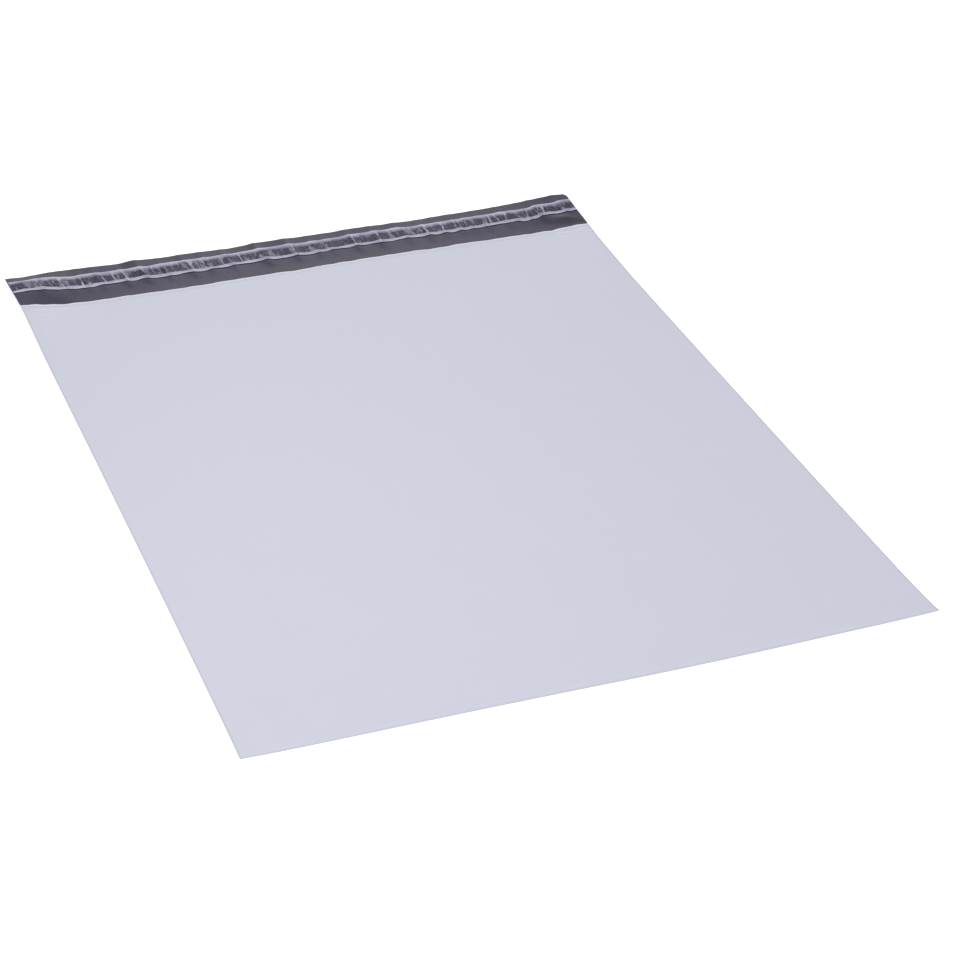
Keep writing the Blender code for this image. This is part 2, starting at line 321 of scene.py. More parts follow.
# Lines across the tape where the liner is loose: distance from the left side edge, lean, half widths at the
# outer and the inner side (below zero where the line stops short of that side), and strength
LOOSE_BARS = (
    (0.0226, 0.10, 0.0007, 0.0003, 0.9), (0.0311, 0.15, 0.0008, 0.0001, 0.6),
    (0.0404, 0.05, 0.0012, 0.0008, 1.0), (0.0457, 0.00, -0.0004, 0.0012, 0.6),
    (0.0521, 0.00, 0.0001, 0.0010, 0.5), (0.0570, 0.05, 0.0006, 0.0005, 1.0),
    (0.0666, 0.00, 0.0002, 0.0002, 0.3), (0.0747, 0.10, 0.0003, 0.0012, 0.6),
    (0.0836, -0.05, 0.0011, 0.0007, 0.9), (0.0930, 0.15, 0.0008, 0.0009, 0.8),
    (0.1084, 0.20, 0.0016, -0.0006, 0.9), (0.1161, 0.00, 0.0005, 0.0005, 0.7),
    (0.1216, 0.10, 0.0005, 0.0008, 0.7), (0.1326, 0.00, 0.0005, 0.0011, 0.5),
    (0.1376, 0.00, 0.0003, 0.0003, 0.6), (0.1402, 0.00, 0.0003, 0.0003, 0.5),
    (0.1475, 0.05, 0.0017, 0.0009, 1.0), (0.1579, 0.05, 0.0009, 0.0004, 0.7),
    (0.1628, 0.00, 0.0007, 0.0007, 0.3), (0.1737, 0.10, 0.0008, 0.0006, 0.6),
    (0.1828, -0.15, -0.0002, 0.0008, 0.4), (0.1897, 0.05, 0.0006, 0.0004, 0.9),
    (0.2030, 0.00, 0.0007, -0.0004, 0.3), (0.2201, 0.00, -0.0003, 0.0008, 0.6),
    (0.2244, 0.00, 0.0004, 0.0004, 0.3), (0.2345, 0.00, 0.0006, 0.0004, 0.9),
    (0.2383, 0.00, -0.0004, 0.0005, 0.4), (0.2534, 0.00, 0.0004, 0.0003, 0.3),
    (0.2614, 0.00, 0.0005, 0.0003, 0.5), (0.2807, 0.00, 0.0004, -0.0004, 0.3),
    (0.2864, 0.00, 0.0007, 0.0005, 1.0), (0.3080, 0.00, 0.0006, 0.0006, 1.0),
    (0.3190, 0.05, 0.0010, 0.0002, 0.5), (0.3320, 0.00, 0.0007, -0.0002, 0.3),
    (0.3495, 0.00, 0.0009, 0.0008, 1.0), (0.3644, -0.08, 0.0007, 0.0006, 0.9),
    (0.3755, 0.00, 0.0008, 0.0006, 0.6), (0.3794, 0.00, 0.0004, 0.0010, 0.6),
    (0.3911, 0.15, 0.0008, 0.0003, 0.5), (0.4019, 0.00, 0.0004, 0.0007, 0.6),
    (0.4066, 0.00, 0.0010, 0.0009, 0.9), (0.4130, 0.08, 0.0007, 0.0006, 0.8),
    (0.4211, -0.10, 0.0008, 0.0004, 0.9), (0.4328, -0.10, 0.0005, 0.0006, 0.4),
    (0.4402, -0.15, 0.0007, 0.0005, 0.8), (0.4496, -0.20, 0.0006, 0.0003, 0.9),
    (0.4546, -0.20, 0.0007, 0.0004, 0.9), (0.4595, 0.00, 0.0005, 0.0003, 0.5),
    (0.4664, 0.00, 0.0008, -0.0002, 0.3), (0.4714, 0.00, 0.0007, 0.0002, 0.4),
)


def ramp(t):
    """Rises smoothly from 0 to 1 as t goes from 0 to 1, and is level outside that."""
    t = np.clip(t, 0.0, 1.0)
    return t * t * (3 - 2 * t)


def bell(distance, reach):
    """1 where the distance is 0, falling to either side as a bell curve of that reach."""
    return np.exp(-((distance / reach) ** 2))


def line_noise(x, spacing, seed):
    """Random values from -1 to 1 at even places along x, with smooth ramps between them."""
    knots = np.random.default_rng(seed).uniform(-1, 1, 2048)
    place = x / spacing + 1024
    left = np.floor(place).astype(int)
    t = ramp(place - left)
    return knots[left] * (1 - t) + knots[left + 1] * t


def wander(x, spacing, seed):
    """A value that strays between -1 and 1 in waves of that spacing, with longer and lower ones added."""
    return 0.6 * line_noise(x, spacing, seed) + 0.4 * line_noise(x, 2.4 * spacing, seed + 1)


def field_noise(x, y, spacing_x, spacing_y, seed):
    """Random values from -1 to 1 on a lattice over x and y, with smooth ramps between them."""
    knots = np.random.default_rng(seed).uniform(-1, 1, (512, 512))
    across, along = x / spacing_x + 256, y / spacing_y + 256
    i, j = np.floor(across).astype(int), np.floor(along).astype(int)
    s, t = ramp(across - i), ramp(along - j)
    near = knots[i, j] * (1 - s) + knots[i + 1, j] * s
    far = knots[i, j + 1] * (1 - s) + knots[i + 1, j + 1] * s
    return near * (1 - t) + far * t


def through(places_and_values, x):
    """The values at their places along x, with smooth ramps between them."""
    places, values = np.array(places_and_values).T
    left = np.clip(np.searchsorted(places, x) - 1, 0, len(places) - 2)
    t = ramp((x - places[left]) / (places[left + 1] - places[left]))
    return values[left] * (1 - t) + values[left + 1] * t


def from_left(across):
    """Distance from the left side edge, where across runs from -1 to 1 between the side edges."""
    return HALF_WIDTH * (1 + across)


def from_right(across):
    """Distance from the right side edge."""
    return HALF_WIDTH * (1 - across)


def share_of_pocket(y):
    """0 at the fold and 1 at the mouth and beyond."""
    return np.clip((y - FOLD_Y) / POCKET_LENGTH, 0.0, 1.0)


def share_of_lip(y):
    """0 up to the mouth and 1 at the lip's free edge."""
    return np.clip((y - MOUTH_Y) / LIP_LENGTH, 0.0, 1.0)


def near_mouth(y):
    """0 far down the pocket, rising smoothly to 1 at the mouth and on the lip."""
    return ramp((y - MOUTH_Y + MOUTH_LIFT_REACH) / MOUTH_LIFT_REACH)


def half_width_at(y):
    """Half of the bag's width: drawn in a little halfway up, and flared at the lip."""
    waist = WAIST * np.sin(math.pi * share_of_pocket(y))
    at_lip = LIP_FLARE * np.sin(math.pi / 2 * share_of_lip(y))
    return HALF_WIDTH - waist + at_lip


def corner_flare(across, y):
    """How far the film stands out to the right: more at the fold's corners and at the mouth's right end, and
    less where the lip's right corner is rounded off."""
    left, right = np.clip(-across, 0.0, 1.0) ** 4, np.clip(across, 0.0, 1.0) ** 4
    at_fold = (FOLD_FLARE_RIGHT * right - FOLD_FLARE_LEFT * left) * np.exp(-(y - FOLD_Y) / FOLD_CORNER_REACH)
    at_mouth = MOUTH_FLARE_RIGHT * right * bell(y - MOUTH_Y, MOUTH_FLARE_REACH)
    rounding = np.clip((y - LIP_EDGE_Y + LIP_CORNER_DEPTH) / LIP_CORNER_DEPTH, 0.0, 1.0) ** 2
    at_lip = LIP_CORNER_ROUND * bell(from_right(across), LIP_CORNER_REACH) * rounding
    return at_fold + at_mouth - at_lip


def shifted_y(across, y):
    """Where a line straight across the flat film lies: the fold bows between corners that are drawn up, and
    the mouth's left end is drawn up too."""
    bow = FOLD_BOW * bell(across - FOLD_BOW_PLACE, FOLD_BOW_REACH) * (1 - share_of_pocket(y)) ** 3
    side = np.minimum(from_left(across), from_right(across))
    corner = FOLD_CORNER_RISE * np.exp(-(side + y - FOLD_Y) / FOLD_CORNER_REACH)
    drawn = MOUTH_SHIFT_LEFT * bell(from_left(across), CURL_REACH_LEFT) * near_mouth(y)
    return y + drawn * (1 - share_of_lip(y) ** 2) + corner - bow


def pucker_crests(across, y):
    """1 or so on the crests of the narrow ridges that run across the lip, and near 0 in the broad valleys."""
    place = from_left(across) + PUCKER_SLANT * (y - GLUE_INNER_Y)
    total = np.zeros_like(place)
    for middle, strength in PUCKERS:
        away = np.sqrt((place - middle) ** 2 + PUCKER_TIP**2) - PUCKER_TIP
        total += strength * np.exp(-away / PUCKER_REACH)
    return total


def puckers(across, y):
    """Height of the ridges across the lip: most at the tape, and gone before the mouth."""
    rise = ramp((y - MOUTH_Y - PUCKER_START) / PUCKER_RISE)
    fall = 1 - PUCKER_FALL * ramp((y - GLUE_INNER_Y) / (LIP_EDGE_Y - GLUE_INNER_Y))
    return PUCKER_HEIGHT * pucker_crests(across, y) * rise * fall


def buckle(across, y):
    """Height of a slanted ridge near the lip's right end, steep on its upper side and gentle on its lower."""
    along, above = from_left(across) - BUCKLE_START[0], y - MOUTH_Y - BUCKLE_START[1]
    run = math.cos(BUCKLE_ANGLE) * along + math.sin(BUCKLE_ANGLE) * above
    side = math.cos(BUCKLE_ANGLE) * above - math.sin(BUCKLE_ANGLE) * along
    shape = np.where(side > 0, bell(side, BUCKLE_STEEP_REACH), bell(side, BUCKLE_GENTLE_REACH))
    length = bell(run - BUCKLE_LENGTH / 2, BUCKLE_LENGTH / 2)
    return BUCKLE_HEIGHT * shape * length * ramp(3 * share_of_lip(y))


def back_height(across, y):
    """Height of the back panel's underside.

    The mouth's ends stand up. The lip climbs from the mouth to its free edge, to a height that is least at
    the middle. A hump lies near its left end and a buckle near its right end. Puckers, small ripples and the
    free edge's long waves go over this."""
    left, right = np.clip(-across, 0.0, 1.0), np.clip(across, 0.0, 1.0)
    at_left, at_right = from_left(across), from_right(across)
    mouth = MOUTH_LIFT_LEFT * bell(at_left, CURL_REACH_LEFT)
    mouth += MOUTH_LIFT_RIGHT * bell(at_right, CURL_REACH_RIGHT)
    edge = (
        LIP_LIFT_MIDDLE
        + (LIP_LIFT_LEFT - LIP_LIFT_MIDDLE) * left**LIFT_POWER_LEFT
        + (LIP_LIFT_RIGHT - LIP_LIFT_MIDDLE) * right**LIFT_POWER_RIGHT
    )
    climb = share_of_lip(y) ** CLIMB_POWER
    hump = HUMP_LIFT * bell(at_left - HUMP_PLACE, HUMP_REACH) * np.sin(math.pi * share_of_lip(y))
    large = mouth * near_mouth(y) * (1 - climb) + edge * climb + hump
    waves = through(LIP_EDGE_WAVES, at_left) * share_of_lip(y) ** 2
    ripple = LIP_RIPPLE * (1 + line_noise(at_left, LIP_RIPPLE_SPACING, 3)) * share_of_lip(y) ** 0.5
    return large + waves + ripple + puckers(across, y) + buckle(across, y)


def mouth_ridges(across, y, narrow=1.0):
    """Low ridges that run along the mouth, most near its ends: 1 on the highest crests, which a higher power
    narrows."""
    x = across * HALF_WIDTH
    down = np.maximum(MOUTH_Y - y, 0.0)
    ends = bell(from_left(across), RIDGE_REACH_LEFT) + bell(from_right(across), RIDGE_REACH_RIGHT)
    stray = RIDGE_STRAY_LONG * line_noise(x, RIDGE_STRAY_LONG_SPACING, 9)
    stray += RIDGE_STRAY_SHORT * line_noise(x, RIDGE_STRAY_SHORT_SPACING, 10)
    waves = 0.5 + 0.5 * np.cos(2 * math.pi * (down + stray) / RIDGE_SPACING)
    return waves**narrow * np.exp(-down / RIDGE_DEPTH) * ends


def pocket_gap(across, y):
    """Space between the panels: none at the seams and at the fold, most in the middle of the pocket.

    Near the mouth the front panel ripples, ridges run beside the mouth's ends, and its edge curls up."""
    up = share_of_pocket(y)
    x = across * HALF_WIDTH
    down = MOUTH_Y - y
    cross = 1 - np.abs(across) ** BULGE_POWER
    within_seams = 1 - np.abs(across) ** SEAM_POWER
    fold = FOLD_LOFT * (1 - np.exp(-(y - FOLD_Y - FILM_THICKNESS) / FOLD_REACH)) * (1 - up)
    bulge = POCKET_SLACK * np.sin(math.pi * up) ** BULGE_LENGTH_POWER
    large = cross * (bulge + fold + MOUTH_GAP * up**3)
    ripple = MOUTH_RIPPLE * bell(down, MOUTH_RIPPLE_REACH) * (1 + line_noise(x, MOUTH_RIPPLE_SPACING, 8))
    curl = EDGE_CURL * np.clip(1 - down / EDGE_CURL_REACH, 0.0, 1.0) ** 2
    swell = 1 + field_noise(x, y, *PANEL_UNDULATION_SPACING, 5)
    undulation = PANEL_UNDULATION * np.sin(math.pi * up) * swell
    return large + within_seams * (ripple + RIDGE_HEIGHT * mouth_ridges(across, y) + curl + undulation)


def on_film(across, y, lift):
    """Points at a lift above the back panel's underside."""
    x = across * half_width_at(y) + corner_flare(across, y)
    return np.stack([x, shifted_y(across, y), back_height(across, y) + lift], axis=-1)


def grid_faces(index):
    """Quads over a grid of vertex numbers."""
    corners = (index[:-1, :-1], index[:-1, 1:], index[1:, 1:], index[1:, :-1])
    return np.stack([corner.ravel() for corner in corners], axis=1)


def strip_faces(first, second):
    """Quads between two rows of vertex numbers."""
    return grid_faces(np.stack([first, second]))


def make_piece(name, points, faces, materials, face_materials=None, attributes=None):
    """A closed smooth mesh at the origin, with its faces turned outwards, riding on the one body."""
    mesh = bpy.data.meshes.new(name)
    mesh.from_pydata(points.tolist(), [], faces)
    for material in materials:
        mesh.materials.append(material)
    if face_materials is not None:
        mesh.polygons.foreach_set("material_index", face_materials)
    for label, values in (attributes or {}).items():
        layer = mesh.attributes.new(label, "FLOAT", "POINT")
        layer.data.foreach_set("value", np.asarray(values, np.float32))
    shell = bmesh.new()
    shell.from_mesh(mesh)
    bmesh.ops.recalc_face_normals(shell, faces=shell.faces)
    shell.to_mesh(mesh)
    shell.free()
    mesh.shade_smooth()
    mesh.set_sharp_from_angle(angle=math.radians(40))
    piece = bpy.data.objects.new(name, mesh)
    bpy.context.scene.collection.objects.link(piece)
    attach(piece, "root")
    return piece


def film_rows():
    """Places of the pocket's rows: close together at the fold and near the mouth, far apart between."""
    fold_steps = np.array([0, 0.0003, 0.0007, 0.0012, 0.0018, 0.0026, 0.0036, 0.005, 0.0075, 0.012])
    middle = np.linspace(0.020, POCKET_LENGTH - 0.060, POCKET_ROWS)
    before_mouth = (0.052, 0.045, 0.039, 0.034, 0.030)
    ridges = np.linspace(0.027, 0.004, RIDGE_ROWS)
    at_mouth = (0.0030, 0.0022, 0.0015, 0.0009, 0.0004, 0.0)
    from_mouth = np.concatenate([before_mouth, ridges, at_mouth])
    return FOLD_Y + np.concatenate([FILM_THICKNESS + fold_steps, middle, POCKET_LENGTH - from_mouth])


def film_columns():
    """Places across the bag from -1 to 1, with a few over each seam, and the number over one seam."""
    seam = 1 - np.array([0, 0.0003, 0.0008, 0.0014]) / HALF_WIDTH
    inner = 1 - SEAM_WIDTH / HALF_WIDTH
    return np.concatenate([-seam, np.linspace(-inner, inner, FILM_COLUMNS), seam[::-1]]), len(seam)


def film_marks(across, y):
    """What the film's materials read at each point, from 0 to 1 or a little more.

    It gives a greyer band along the side edges, a painted highlight on the mouth's cut edge, painted shade
    below its curl and painted highlights on the ridges below it, painted shade at the fold with a painted
    highlight line beside it, and painted shade at the lip's right end."""
    place, to_right = from_left(across), from_right(across)
    above_fold, below_mouth = y - FOLD_Y, MOUTH_Y - y
    from_side = HALF_WIDTH * (1 - np.abs(across))
    in_pocket = ramp((below_mouth + 0.001) / 0.001)
    # Painted highlight along the mouth's cut edge
    cut = 1 - ramp((np.abs(below_mouth) - CUT_HIGHLIGHT_BAND) / CUT_HIGHLIGHT_FADE)
    # Painted shade at the lip's right end: a spot by the mouth's right corner and a band along the last few
    # centimetres
    corner = bell(to_right, CORNER_SHADE_REACH) * bell(below_mouth + CORNER_SHADE_HEIGHT, CORNER_SHADE_REACH)
    end = ramp((END_SHADE_START - to_right) / END_SHADE_FADE)
    end *= bell(below_mouth + END_SHADE_HEIGHT, CORNER_SHADE_REACH)
    broken = np.clip(0.6 + 1.6 * wander(place, 0.008, 19), 0.0, 1.0)
    # Painted highlight in a line just inside the fold
    fold_highlight = bell(above_fold - FOLD_HIGHLIGHT_PLACE, FOLD_HIGHLIGHT_REACH)
    return {
        # Greyer along the side edges of the pocket
        "side_edge_grey": (1 - ramp((from_side - SIDE_GREY_BAND) / SIDE_GREY_FADE)) * in_pocket,
        "cut_edge_highlight": cut * (0.75 + 0.35 * wander(place, 0.009, 14)),
        # Painted highlight on the crests of the ridges beside the mouth
        "ridge_crest_highlight": mouth_ridges(across, y, RIDGE_HIGHLIGHT_POWER) * broken,
        "lip_end_shade": corner + END_SHADE * end,
        # Painted shade in a band just below the mouth's curled edge
        "mouth_curl_shade": bell(below_mouth - CURL_SHADE_PLACE, CURL_SHADE_REACH),
        # Painted shade along the fold, where the film turns down
        "fold_shade": 1 - ramp((above_fold - FOLD_SHADE_BAND) / FOLD_SHADE_FADE),
        "fold_highlight": fold_highlight * ramp(0.5 + 1.5 * wander(place, 0.016, 12)),
    }


def make_film(outside, inside):
    """The folded and side-sealed film, as one closed surface that is open at the mouth.

    Four grids over across and y make it: the back panel's outer and inner faces, which run on into the lip,
    and the front panel's inner and outer faces. The inner faces meet in a line along both seams and the
    fold, and the outer faces meet round the outside of the fold in half a circle."""
    columns, seam = film_columns()
    pocket_y = film_rows()
    lip_y = np.linspace(MOUTH_Y, LIP_EDGE_Y, LIP_ROWS + 1)[1:]
    all_y = np.concatenate([pocket_y, lip_y])
    mouth = len(pocket_y) - 1
    last = len(columns) - 1
    inner = 1 - SEAM_WIDTH / HALF_WIDTH

    def front(films):
        """Points of the front panel's inner face, one film up, or of its outer face, two films up."""
        across, y = np.meshgrid(columns, pocket_y)
        gap = pocket_gap(np.clip(across / inner, -1, 1), y)
        near_cut = ramp((y - MOUTH_Y + CUT_WANDER_DEPTH) / CUT_WANDER_DEPTH)
        place = from_left(across)
        cut = through(MOUTH_CUT, place) + CUT_WAVE * wander(place, CUT_WAVE_SPACING, 7)
        return on_film(across, y + cut * near_cut, films * FILM_THICKNESS + gap)

    back_outer = on_film(*np.meshgrid(columns, all_y), 0.0)
    back_inner = on_film(*np.meshgrid(columns, all_y), FILM_THICKNESS)
    turns = np.linspace(-math.pi / 2, math.pi / 2, 7)[1:-1]
    fold = np.repeat(back_outer[0][None], len(turns), axis=0)
    fold[:, :, 1] -= FILM_THICKNESS * np.cos(turns)[:, None]
    fold[:, :, 2] += FILM_THICKNESS * (1 + np.sin(turns))[:, None]

    points, numbers = [], []
    for part in (back_outer, back_inner, front(1), front(2), fold):
        start = sum(len(p) for p in points)
        points.append(part.reshape(-1, 3))
        numbers.append(start + np.arange(len(points[-1])).reshape(part.shape[:2]))
    back_out, back_in, front_in, front_out, bend = numbers
    left, right = seam, last - seam
    within = slice(left, right + 1)
    front_in[0] = back_in[0]
    front_in[:, left] = back_in[: mouth + 1, left]
    front_in[:, right] = back_in[: mouth + 1, right]
    rim = np.concatenate([back_in[mouth, :left], front_in[mouth, within], back_in[mouth, right + 1 :]])

    white = [grid_faces(back_out), grid_faces(front_out)]
    white += [strip_faces(rim, front_out[mouth]), strip_faces(back_out[-1], back_in[-1])]
    white.append(grid_faces(np.concatenate([back_out[:1], bend, front_out[:1]])))
    corners = []
    last_two = slice(mouth - 1, mouth + 1)
    for side in (0, last):
        white.append(strip_faces(back_out[:mouth, side], front_out[:mouth, side]))
        white.append(strip_faces(back_out[mouth:, side], back_in[mouth:, side]))
        front_edge = front_out[last_two, side][::-1]
        corners.append([*back_out[last_two, side], back_in[mouth, side], *front_edge])
        corners.append([back_out[0, side], *bend[:, side], front_out[0, side]])
    dark = [grid_faces(back_in[mouth:])]
    dark += [grid_faces(back_in[: mouth + 1, within]), grid_faces(front_in[:, within])]
    white, dark = np.concatenate(white), np.concatenate(dark)

    # Only the points that a face uses are kept.
    used = np.unique(np.concatenate([white.ravel(), dark.ravel()]))
    all_points = np.concatenate(points)
    new_number = np.full(len(all_points), -1)
    new_number[used] = np.arange(len(used))
    faces = new_number[white].tolist() + new_number[dark].tolist()
    faces += [new_number[np.array(corner, int)].tolist() for corner in corners]
    slots = [0] * len(white) + [1] * len(dark) + [0] * len(corners)

    # Where each kept point lies on the flat film, which the marks depend on
    rows_of_parts = (all_y, all_y, pocket_y, pocket_y, np.full(len(turns), FOLD_Y))
    grids = [np.stack(np.meshgrid(columns, rows), axis=-1) for rows in rows_of_parts]
    across, y = np.concatenate([grid.reshape(-1, 2) for grid in grids])[used].T
    marks = film_marks(across, y)
    film = make_piece("mailer_film", all_points[used], faces, [outside, inside], slots, marks)
    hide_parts("bag_film")
    return film


def loose_lines():
    """Every line across the tape where the liner is loose: the plain ones, and faint fine ones between."""
    draw = np.random.default_rng(21)
    count = FINE_LINES
    places = np.linspace(0.008, 2 * HALF_WIDTH - 0.004, count) + draw.uniform(-0.004, 0.004, count)
    from_inside = draw.uniform(0, 1, count) < 0.5
    wide, narrow = draw.uniform(0.0002, 0.0009, count), draw.uniform(-0.0009, 0.0001, count)
    fine = np.stack([
        places, draw.uniform(-0.25, 0.25, count), np.where(from_inside, narrow, wide),
        np.where(from_inside, wide, narrow), draw.uniform(0.15, 0.42, count),
    ], axis=1)
    return np.concatenate([np.array(LOOSE_BARS), fine])


def looseness(across, y):
    """How loose the liner is, from 0 where it sticks to the adhesive to 1 where it hangs free.

    Past the adhesive's two wavy edges it is loose: more so towards its own cut edges, and less so on the
    crests of the lip's ridges. Each loose line opens a narrow gap in the stuck part."""
    place = from_left(across)
    outer = GLUE_OUTER_Y + through(OUTER_MARGIN, place) + STUCK_EDGE_WAVE_OUTSIDE * wander(place, 0.0050, 13)
    inner = GLUE_INNER_Y + through(INNER_MARGIN, place) + STUCK_EDGE_WAVE_INSIDE * wander(place, 0.0045, 11)
    hanging = np.clip((y - outer) / (LINER_OUTER_Y - GLUE_OUTER_Y), 0.0, 1.0)
    tight = np.clip(pucker_crests(across, y), 0.0, 1.0)
    outside = ramp((y - outer + STUCK_FADE_OUTSIDE) / STUCK_FADE_OUTSIDE)
    outside *= (MILK_OUTSIDE + (1 - MILK_OUTSIDE) * ramp(1.6 * hanging)) * (0.90 + 0.14 * tight)
    outside *= 0.96 + 0.14 * wander(place, 0.0050, 36)
    inside = ramp((inner - y + 0.0004) / STUCK_FADE_INSIDE)
    inside *= (0.97 + 0.12 * wander(place, 0.0055, 38)) * (1 - 0.25 * tight)
    stuck = (1 - outside) * (1 - inside)
    share = np.clip((y - GLUE_INNER_Y) / GLUE_WIDTH, 0.0, 1.0)
    below_middle = GLUE_INNER_Y + GLUE_WIDTH / 2 - y
    for middle, lean, half_outer, half_inner, strength in loose_lines():
        centre = middle + lean * below_middle + BAR_STRAY * line_noise(y + middle, 0.0035, 15)
        half = half_inner * (1 - share) + half_outer * share
        half *= 0.85 + 0.35 * line_noise(y - middle, 0.0030, 16)
        half += BAR_FLARE * strength * (share**5 + (1 - share) ** 8)
        open_here = strength * (0.80 + 0.40 * line_noise(y + 3 * middle, 0.0025, 17))
        stuck *= 1 - open_here * (1 - ramp((np.abs(place - centre) - half + 0.0002) / BAR_EDGE))
    return np.clip(1 - stuck, 0.0, 1.0)


def liner_lift(across, y, loose):
    """Height of the liner over the lip: it lies on the adhesive, stands up a little along each loose line,
    and both of its margins ripple."""
    place = from_left(across)
    outside = np.clip((y - GLUE_OUTER_Y) / LINER_PAST_GLUE_OUTSIDE, 0.0, 1.0)
    inside = np.clip((GLUE_INNER_Y - y) / LINER_PAST_GLUE_INSIDE, 0.0, 1.0)
    waves_outside = 1 + wander(place, 0.0075, 16)
    waves_inside = 1 + wander(place, 0.0068, 18)
    margins = (
        LINER_RIPPLE_OUTSIDE * outside**1.3 * waves_outside / 2
        + LINER_RIPPLE_INSIDE * inside**1.3 * waves_inside / 2
    )
    return 2 * TAPE_GAP + GLUE_THICKNESS + TUNNEL_LIFT * loose * (1 - outside) * (1 - inside) + margins


def band_mesh(across, y, lift, thickness):
    """Points and faces of a thin closed strip on the lip, over the grid of across and y."""
    low = on_film(across, y, FILM_THICKNESS + lift)
    high = on_film(across, y, FILM_THICKNESS + lift + thickness)
    under = np.arange(across.size).reshape(across.shape)
    top = under + across.size
    faces = [grid_faces(under), grid_faces(top)]
    faces += [strip_faces(under[side], top[side]) for side in (0, -1)]
    faces += [strip_faces(under[:, side], top[:, side]) for side in (0, -1)]
    return np.concatenate([low.reshape(-1, 3), high.reshape(-1, 3)]), np.concatenate(faces).tolist()


def make_glue(material):
    """The adhesive band: a strip that follows the lip, with slightly wavy edges."""
    end = 1 - GLUE_END_INSET / HALF_WIDTH
    across, along = np.meshgrid(np.linspace(-end, end, GLUE_GRID[0]), np.linspace(0, 1, GLUE_GRID[1]))
    wave = (2 * along - 1) * GLUE_CUT_WAVE * line_noise(from_left(across), 0.0060, 31)
    y = GLUE_INNER_Y + along * GLUE_WIDTH + wave
    points, faces = band_mesh(across, y, TAPE_GAP, GLUE_THICKNESS)
    glue = make_piece("hot_melt_band", points, faces, [material])
    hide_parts("adhesive_strip")
    return glue


def make_liner(material):
    """The release liner: a strip whose cut edges wander over the lip and whose height is liner_lift."""
    end = 1 - LINER_END_INSET / HALF_WIDTH
    across, along = np.meshgrid(np.linspace(-end, end, LINER_GRID[0]), np.linspace(0, 1, LINER_GRID[1]))
    width = LINER_OUTER_Y - LINER_INNER_Y
    place = from_left(across)
    cut_outside = LINER_CUT_WAVE_OUTSIDE * line_noise(place, 0.0130, 32)
    cut_inside = LINER_CUT_WAVE_INSIDE * line_noise(place, 0.0070, 33)
    cut_outside += through(OUTER_MARGIN, place)
    cut_inside += through(INNER_MARGIN, place)
    y = LINER_INNER_Y + along * (width + cut_outside) + (1 - along) * cut_inside
    loose = looseness(across, y)
    lift = liner_lift(across, y, loose)
    points, faces = band_mesh(across, y, lift, LINER_THICKNESS)
    # A painted highlight along both cut edges of the liner, stronger in patches along it
    rim = 1 - ramp(np.minimum(1 - along, along) * width / RIM_HIGHLIGHT_WIDTH)
    shine = 0.5 + 0.5 * wander(place, 0.0055, 34)
    attributes = {"loose": np.tile(loose.ravel(), 2), "liner_rim_highlight": np.tile((rim * shine).ravel(), 2)}
    liner = make_piece("release_film", points, faces, [material], attributes=attributes)
    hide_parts("release_liner")
    return liner


def new_group(name, inputs, outputs):
    """An empty shader node group with named sockets, its input node and its output node."""
    tree = bpy.data.node_groups.new(name, "ShaderNodeTree")
    for label, value in inputs:
        socket = tree.interface.new_socket(label, in_out="INPUT", socket_type="NodeSocketFloat")
        socket.default_value = value
    for label in outputs:
        tree.interface.new_socket(label, in_out="OUTPUT", socket_type="NodeSocketFloat")
    return tree, tree.nodes.new("NodeGroupInput"), tree.nodes.new("NodeGroupOutput")


def feed(tree, socket, value):
    """Links a socket to another one, or sets it to a plain value."""
    if isinstance(value, bpy.types.NodeSocket):
        tree.links.new(value, socket)
    else:
        socket.default_value = value


def math_node(tree, operation, first, second, clamp=False):
    """The result of a Math node on two inputs, each a socket or a plain number."""
    node = tree.nodes.new("ShaderNodeMath")
    node.operation = operation
    node.use_clamp = clamp
    feed(tree, node.inputs[0], first)
    feed(tree, node.inputs[1], second)
    return node.outputs[0]


def scaled(tree, value, factor, offset=0.0, clamp=False):
    """The value times a factor, plus an offset."""
    node = tree.nodes.new("ShaderNodeMath")
    node.operation = "MULTIPLY_ADD"
    node.use_clamp = clamp
    for socket, given in zip(node.inputs, (value, factor, offset)):
        feed(tree, socket, given)
    return node.outputs[0]


def noise_node(tree, vector, scale, detail=2.0, roughness=0.5):
    """The value of a Noise Texture."""
    node = tree.nodes.new("ShaderNodeTexNoise")
    for label, value in (("Vector", vector), ("Scale", scale), ("Detail", detail), ("Roughness", roughness)):
        feed(tree, node.inputs[label], value)
    return node.outputs["Fac"]


def object_place(tree):
    """The point's place on its object."""
    return tree.nodes.new("ShaderNodeTexCoord").outputs["Object"]


def stretched(tree, vector, scale):
    """The coordinates, stretched by a scale along each axis."""
    node = tree.nodes.new("ShaderNodeMapping")
    node.inputs["Scale"].default_value = scale
    tree.links.new(vector, node.inputs["Vector"])
    return node.outputs["Vector"]


def colour_mix(tree, factor, first, second):
    """A mix of two colours, each a socket or a plain colour, by a factor socket."""
    node = tree.nodes.new("ShaderNodeMix")
    node.data_type = "RGBA"
    tree.links.new(factor, node.inputs["Factor"])
    for socket, value in ((node.inputs[6], first), (node.inputs[7], second)):
        feed(tree, socket, value if isinstance(value, bpy.types.NodeSocket) else (*value, 1.0))
    return node.outputs[2]


